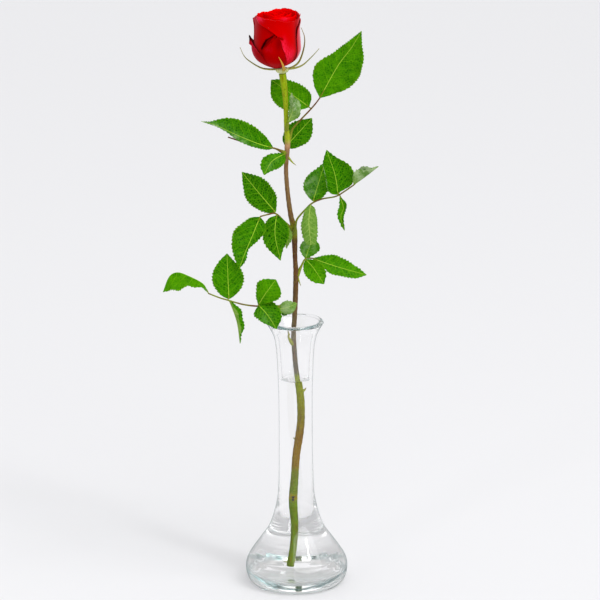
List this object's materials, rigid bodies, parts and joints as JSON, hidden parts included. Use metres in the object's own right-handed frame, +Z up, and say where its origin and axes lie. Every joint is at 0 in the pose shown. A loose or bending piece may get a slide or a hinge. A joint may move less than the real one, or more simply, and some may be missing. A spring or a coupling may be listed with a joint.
{
  "type": "rose in a bud vase",
  "caption": "Cut rose with a long thorny stem and toothed leaves, standing in a slender clear glass bud vase with a flared lip and a wide rounded foot, part filled with water.",
  "frame": {"origin": "middle of the vase's foot, on the surface it stands on", "axes": "+Z up along the vase; the viewer of the front stands at -Y"},
  "size_m": [0.1555, 0.0762, 0.4299],
  "materials": {
    "glass": "clear polished",
    "water": "clear liquid",
    "stem": "satin",
    "calyx": "satin",
    "petal": "velvety",
    "leaf": "satin"
  },
  "bodies": {
    "root": {"vase": "glass", "water": "water", "stem": "stem", "calyx": "calyx", "bloom": "petal", "leaf_small_top": "leaf", "leaf_top_right": "leaf", "leaf_back": "leaf", "leaf_upper_left": "leaf", "leaf_mid_left": "leaf", "leaf_mid_right": "leaf", "leaf_low_right": "leaf", "leaf_low_left": "leaf"}
  },
  "joints": []
}
